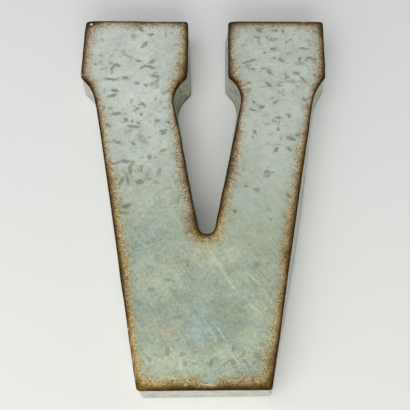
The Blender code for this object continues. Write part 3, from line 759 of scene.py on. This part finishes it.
def chipped(finish, colour, mottle):
    """The colour with its chips, and how bare each place is."""
    ring = finish.ellipse(finish.plan, CORNER_CHIP, (CHIP_RING_RADIUS, CHIP_RING_RADIUS))
    colour = finish.mix(ring.fade(1.9, 1.0) * 0.75, colour, CHIP_RING_COLOUR)
    bare = chips(finish, finish.warped(finish.plan, 1.4, 0.9)) * mottle.fade(0.2, 0.5)
    return finish.mix(bare, colour, CHIPPED_ZINC), bare


def face_finish():
    """The front of the letter: pale zinc with flecks and scrapes, and rust that creeps in from the edge."""
    finish = Finish("rusted zinc face")
    mottle = finish.grain(2.6, 3.0, 0.6)
    dust = finish.grain(1.1, 2.0, 0.6)
    zinc = bare_zinc(finish, dust, mottle)
    zinc = flecked(finish, zinc, mottle)
    zinc = scraped(finish, zinc, dust)
    colour, rust, line = rusted(finish, zinc, dust)
    colour, bare = chipped(finish, colour, mottle)
    rusty = rust.highest(line) * (1 - bare)
    roughness = 0.50 + (mottle - 0.5) * 0.2 + rusty * 0.28
    metallic = ZINC_METALLIC - rusty * ZINC_METALLIC
    height = (dust - 0.5) * 0.03 + (mottle - 0.5) * 0.05 + rust * (dust - 0.5) * 0.2
    finish.feed(finish.shader.inputs["Specular IOR Level"], RUST_SHINE)
    return finish.finished(colour, roughness, metallic, height)


def wall_finish():
    """The returns: zinc with a faint spangle, stained under the lip and darker along the hem.

    Where the returns' painted-light share is low, painted shade makes the zinc darker, greener and more
    mottled, and widens the dark band along the hem.
    """
    finish = Finish("zinc wall")
    cloud = finish.grain(26, 3.0)
    mottle = finish.grain(4.0, 3.0, 0.6, distortion=0.5)
    dust = finish.grain(0.9, 2.0, 0.6)
    height_up = finish.coordinate("Z")
    # How much of the returns' brightness their painted shade leaves
    painted_light_share = finish.attribute("painted_light_share")
    painted_shade_depth = painted_light_share.fade(0.75, 0.42)
    ragged = finish.warped(finish.place, 6, 1.6, 1.6)
    in_crystals = finish.vector("MULTIPLY", ragged, tuple(1 / size for size in WALL_CRYSTAL_SIZE))
    crystal, present, _ = finish.cells(in_crystals)
    colour = finish.mix(cloud.fade(0.35, 0.65), WARM_ZINC, COOL_ZINC)
    colour = finish.mix(crystal.fade(0.2, 0.9) * 0.30, colour, WALL_CRYSTAL)
    colour = finish.mix(present.fade(0.86, 0.92) * 0.40, colour, WALL_DARK_CRYSTAL)
    colour = finish.mix(mottle.fade(0.48, 0.72) * 0.40, colour, WALL_CLOUD)
    colour = finish.mix(mottle.fade(0.46, 0.28) * 0.35, colour, WALL_PALE_CLOUD)
    wavy = height_up + (cloud - 0.5) * 5
    lip_edge = DEPTH - LIP_DEPTH
    under_lip = wavy.fade(lip_edge - 4.0, lip_edge + 0.5)
    colour = finish.mix(under_lip * 0.45, colour, LIP_STAIN)
    # A darker band along the hem; where the returns' painted shade is deep it widens, and that widening is
    # painted shade
    along_hem = (height_up + (mottle - 0.5) * 1.2 - painted_shade_depth * 2.0).fade(1.7, 0.3)
    colour = finish.mix(along_hem * (painted_shade_depth * 0.3 + 0.6), colour, HEM_DARK_BAND)
    colour = finish.mix(dust.fade(0.55, 0.8) * 0.20, colour, WALL_DUST)
    # Painted shade: the returns are made greener, darker and more mottled where their painted-light share is
    # low
    colour = finish.vector("MULTIPLY", colour, finish.mix(painted_shade_depth, (1, 1, 1), PAINTED_SHADE_TINT))
    uneven = painted_shade_depth * ((mottle - 0.5) * 3.0 + (dust - 0.5) * 1.0) + 1
    colour = finish.scaled(colour, painted_light_share * uneven)
    roughness = 0.46 + (mottle - 0.5) * 0.2 + along_hem * 0.2
    metallic = ZINC_METALLIC - along_hem * 0.2
    height = (dust - 0.5) * 0.03 + (mottle - 0.5) * 0.06 + crystal * 0.015
    return finish.finished(colour, roughness, metallic, height)


def strap_finish():
    """Satin zinc plate, rolled along the strip and rubbed."""
    finish = Finish("satin zinc strap")
    rolled = finish.grain(1.0, 3.0, 0.6, place=finish.turned(finish.place, size=(18, 0.5, 3)))
    cloud = finish.grain(9, 3.0)
    dust = finish.grain(0.7, 2.0)
    colour = finish.mix(cloud.fade(0.35, 0.65), PLATE_PALE, PLATE_GREY)
    colour = finish.mix(rolled.fade(0.5, 0.75) * 0.4, colour, PLATE_RUBBED)
    colour = finish.mix(dust.fade(0.62, 0.8) * 0.35, colour, PLATE_DUST)
    roughness = 0.34 + (cloud - 0.5) * 0.2 + (rolled - 0.5) * 0.1
    metallic = 0.85 - dust.fade(0.6, 0.8) * 0.3
    height = (rolled - 0.5) * 0.012 + (dust - 0.5) * 0.01
    return finish.finished(colour, roughness, metallic, height)


def solder_finish():
    """Dull tin solder, lumpy, with blots of brown flux."""
    finish = Finish("tin solder")
    lumps = finish.grain(1.2, 3.0, 0.6)
    flux = finish.grain(3.0, 3.0, 0.6).fade(0.55, 0.72)
    colour = finish.mix(lumps.fade(0.35, 0.7), SOLDER_GREY, SOLDER_PALE)
    colour = finish.mix(flux * 0.6, colour, FLUX_BROWN)
    roughness = 0.42 + (lumps - 0.5) * 0.3
    metallic = 0.7 - flux * 0.5
    return finish.finished(colour, roughness, metallic, (lumps - 0.5) * 0.12)


# Modelling

def select_only(piece):
    for item in bpy.context.view_layer.objects:
        item.select_set(False)
    piece.select_set(True)
    bpy.context.view_layer.objects.active = piece


@contextmanager
def editing(piece):
    """Edit mode on one piece, with all of its mesh selected at the start."""
    select_only(piece)
    bpy.ops.object.mode_set(mode="EDIT")
    bpy.ops.mesh.select_all(action="SELECT")
    yield
    bpy.ops.object.mode_set(mode="OBJECT")


def copy_of(node, name):
    """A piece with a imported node's shape and its own joined-up mesh."""
    mesh = frame["nodes"][node].data.copy()
    mesh.materials.clear()
    piece = bpy.data.objects.new(name, mesh)
    bpy.context.collection.objects.link(piece)
    with editing(piece):
        bpy.ops.mesh.remove_doubles(threshold=MERGE_DISTANCE)
    return piece


def points_of(piece):
    flat = np.zeros(len(piece.data.vertices) * 3)
    piece.data.vertices.foreach_get("co", flat)
    return flat.reshape(-1, 3)


def move_points(piece, points):
    """Puts a piece's points in new places, inside the solids' own box."""
    low, high = (np.array(corner) for corner in CAD_BOX)
    piece.data.vertices.foreach_set("co", np.clip(points, low, high).ravel())
    piece.data.update()


def cut_in_strips(piece, pitch):
    """Cuts a piece's faces along evenly spaced planes across x and y, so that its sheet can bend."""
    points = points_of(piece)
    low, high = points.min(0), points.max(0)
    with editing(piece):
        for axis in (0, 1):
            count = round((high[axis] - low[axis]) / (pitch * MM))
            normal = [float(axis == other) for other in range(3)]
            for step in range(1, count):
                spot = [0.0, 0.0, 0.0]
                spot[axis] = low[axis] + (high[axis] - low[axis]) * step / count
                bpy.ops.mesh.select_all(action="SELECT")
                bpy.ops.mesh.bisect(plane_co=spot, plane_no=normal, threshold=MERGE_DISTANCE)


def wave(point, size, seed):
    """A smooth random number from -1 to 1 at a point, which changes over a size."""
    return noise.noise(Vector(point) / (size * MM) + Vector((seed, -seed, 2 * seed)))


def blended(points, places, reach, stay=0.0):
    """The values set at places on the plan, blended smoothly between them.

    Each place is its x, its y and its values. The larger stay is, the sooner the values fall to nothing
    away from the places.
    """
    table = np.array(places, float)
    apart = ((points[:, None, :2] / MM - table[None, :, :2]) ** 2).sum(2)
    pull = 1 / (apart / reach**2 + 1) ** 2
    return pull @ table[:, 2:] / (pull.sum(1, keepdims=True) + stay)


def nudge(piece):
    """Moves a piece with the letter's edge where it strays: most at the face and not at all at the rim."""
    points = points_of(piece)
    up = np.clip(points[:, 2:] / (DEPTH * MM), 0, 1)
    points[:, :2] += blended(points, EDGE_NUDGES, NUDGE_REACH, NUDGE_STAY) * MM * up
    move_points(piece, points)


def keep_attribute(piece, name, values):
    attribute = piece.data.attributes.new(name, "FLOAT", "POINT")
    attribute.data.foreach_set("value", np.asarray(values, np.float32))


def rim_distances(piece):
    """How far inside the letter's outline each point lies, in millimetres.

    The outline is the outside of the turned-down lip: the upright faces with no sheet above them.
    """
    mesh = piece.data
    corners = [vertex.co for vertex in mesh.vertices]
    whole = BVHTree.FromPolygons(corners, [polygon.vertices for polygon in mesh.polygons])
    up = Vector((0, 0, 1))
    outer = []
    for polygon in mesh.polygons:
        if abs(polygon.normal.z) < UPRIGHT:
            in_front = polygon.center + polygon.normal * LIP_CLEARANCE * MM
            if whole.ray_cast(in_front, up)[0] is None:
                outer.append(polygon.vertices)
    outline = BVHTree.FromPolygons(corners, outer)
    level = FACE_LOW.z + LIP_LEVEL * MM
    return [outline.find_nearest(Vector((point.x, point.y, level)))[3] / MM for point in corners]


def keep_rust(piece):
    """Spreads the rust's reach, orange and speckle from the places in the table over the face."""
    places = [place for stretch in RUST.values() for place in stretch]
    spread = blended(points_of(piece), places, RUST_REACH)
    for column, name in enumerate(("rust_reach", "rust_orange", "rust_speckle")):
        keep_attribute(piece, name, spread[:, column])


def put_on(piece, finish, node):
    """Finishes a piece and sets it on the frame in place of its node."""
    nudge(piece)
    piece.data.materials.append(finish)
    select_only(piece)
    bpy.ops.object.shade_smooth_by_angle(angle=SMOOTH_ANGLE)
    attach(piece, "root")
    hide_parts(node)


def make_face(finish):
    """The front sheet, which sags a little between its flanges."""
    piece = copy_of("face_plate", "face_sheet")
    cut_in_strips(piece, FACE_PITCH)
    inside = rim_distances(piece)
    keep_attribute(piece, "rim_distance", inside)
    keep_rust(piece)
    moved = points_of(piece)
    for index, point in enumerate(moved.copy()):
        past_flange = min(1.0, max(0.0, (inside[index] - SAG_BEGINS) / SAG_RUN))
        sag = 0.5 + 0.5 * wave(point * (1, 1, 0), SAG_SIZE, SAG_SEED)
        moved[index, 2] -= (FACE_SINK + FACE_SAG * sag * (1 + 2 * past_flange)) * MM
    move_points(piece, moved)
    put_on(piece, finish, "face_plate")


def make_wall(node, finish):
    """One return: bent by hand, so that it waves a little between its flange and its hem."""
    piece = copy_of(node, node.replace("return", "wall"))
    cut_in_strips(piece, WALL_PITCH)
    moved = points_of(piece)
    for index, point in enumerate(moved.copy()):
        share = math.sin(math.pi * min(1.0, max(0.0, point[2] / (DEPTH * MM)))) ** 2
        drawn_out = point * (1, 1, WOBBLE_UPRIGHT)
        for axis, seed in enumerate(WOBBLE_SEEDS):
            moved[index, axis] += WALL_WOBBLE * MM * wave(drawn_out, WOBBLE_SIZE, seed) * share
    move_points(piece, moved)
    # Painted shade for this return, blended from its table
    keep_attribute(piece, "painted_light_share", blended(moved, WALL_PAINTED_SHADE[node], PAINTED_SHADE_REACH)[:, 0])
    put_on(piece, finish, node)


def make_strap(node, finish):
    """A hanger strap with its edges eased."""
    piece = copy_of(node, node.replace("hanger_strap", "hanger"))
    select_only(piece)
    ease = piece.modifiers.new("eased edges", "BEVEL")
    ease.width = STRAP_BEVEL * MM
    ease.segments = STRAP_BEVEL_SEGMENTS
    ease.limit_method = "ANGLE"
    ease.angle_limit = SMOOTH_ANGLE
    bpy.ops.object.modifier_apply(modifier=ease.name)
    put_on(piece, finish, node)


def make_solder(node, finish):
    """A run or drop of solder, rounded and lumpy."""
    piece = copy_of(node, node + "_bead")
    select_only(piece)
    soften = piece.modifiers.new("softened", "SUBSURF")
    soften.levels = SOLDER_LEVELS
    soften.render_levels = SOLDER_LEVELS
    bpy.ops.object.modifier_apply(modifier=soften.name)
    moved = points_of(piece)
    middle = moved.mean(0)
    for index, point in enumerate(moved.copy()):
        outward = Vector(point - middle).normalized()
        moved[index] += np.array(outward) * SOLDER_LUMPS * MM * wave(point, LUMP_SIZE, LUMP_SEED)
    move_points(piece, moved)
    put_on(piece, finish, node)


# Setting

def floor_finish():
    """Pale paper, with painted light: slightly dimmer and cooler at the back, warmer at the front."""
    finish = Finish("paper")
    painted_light_turn = finish.coordinate("Y").fade(*PAINTED_LIGHT_TURNS)
    colour = finish.mix(painted_light_turn, PAPER_IN_PAINTED_DIM_LIGHT, PAPER_IN_PAINTED_WARM_LIGHT)
    finish.feed(finish.shader.inputs["Base Color"], colour)
    finish.feed(finish.shader.inputs["Roughness"], 0.9)
    finish.feed(finish.shader.inputs["Specular IOR Level"], 0.1)
    return finish.material


def make_floor():
    bpy.ops.mesh.primitive_plane_add(size=FLOOR_SIZE, location=(0, 0, 0))
    floor = bpy.context.active_object
    floor.name = "floor"
    floor.data.materials.append(floor_finish())


def make_camera():
    """The photograph's camera, looking down on the letter from its foot."""
    level = math.cos(CAMERA_ELEVATION)
    back = Vector((
        math.sin(CAMERA_AZIMUTH) * level,
        -math.cos(CAMERA_AZIMUTH) * level,
        math.sin(CAMERA_ELEVATION),
    ))
    right = Vector((math.cos(CAMERA_AZIMUTH), math.sin(CAMERA_AZIMUTH), 0))
    up = back.cross(right)
    turned = Matrix((right, up, back)).transposed() @ Matrix.Rotation(CAMERA_ROLL, 3, "Z")
    lens = bpy.data.cameras.new("camera")
    lens.sensor_width = SENSOR_WIDTH
    lens.lens = SENSOR_WIDTH * FOCAL_PIXELS / PHOTO_SIDE
    lens.clip_start = 0.01
    lens.clip_end = 20
    camera = bpy.data.objects.new("camera", lens)
    camera.matrix_world = Matrix.Translation(CAMERA_TARGET + back * CAMERA_DISTANCE) @ turned.to_4x4()
    bpy.context.collection.objects.link(camera)
    bpy.context.scene.camera = camera


def make_softbox(name, place, power):
    """A square lamp that faces the letter."""
    light = bpy.data.lights.new(name, "AREA")
    light.size = SOFTBOX_SIZE
    light.energy = power
    lamp = bpy.data.objects.new(name, light)
    lamp.location = place
    lamp.rotation_euler = (-Vector(place)).to_track_quat("-Z", "Y").to_euler()
    bpy.context.collection.objects.link(lamp)


def make_light():
    """A pale room with softboxes in front, to the left and overhead."""
    world = bpy.data.worlds.new("room")
    world.use_nodes = True
    tree = world.node_tree
    ray = tree.nodes.new("ShaderNodeLightPath")
    seen = ray.outputs["Is Camera Ray"]
    for kind in ("Is Glossy Ray", "Is Transmission Ray"):
        either = tree.nodes.new("ShaderNodeMath")
        either.operation = "MAXIMUM"
        tree.links.new(seen, either.inputs[0])
        tree.links.new(ray.outputs[kind], either.inputs[1])
        seen = either.outputs[0]
    strength = tree.nodes.new("ShaderNodeMapRange")
    strength.inputs["To Min"].default_value = ROOM_STRENGTH
    strength.inputs["To Max"].default_value = BACKDROP_STRENGTH
    tree.links.new(seen, strength.inputs["Value"])
    background = tree.nodes["Background"]
    background.inputs["Color"].default_value = (1, 1, 1, 1)
    tree.links.new(strength.outputs[0], background.inputs["Strength"])
    bpy.context.scene.world = world
    for name, (place, power) in SOFTBOXES.items():
        make_softbox(name, place, power)


def make_letter():
    """Every piece of the letter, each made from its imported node."""
    wall = wall_finish()
    strap = strap_finish()
    solder = solder_finish()
    make_face(face_finish())
    for node in sorted(frame["nodes"]):
        if node.endswith("_return"):
            make_wall(node, wall)
        elif node.endswith("_strap"):
            make_strap(node, strap)
        elif node != "face_plate":
            make_solder(node, solder)


make_camera()
make_light()
make_floor()
make_letter()

bpy.context.scene.view_settings.view_transform = "Standard"
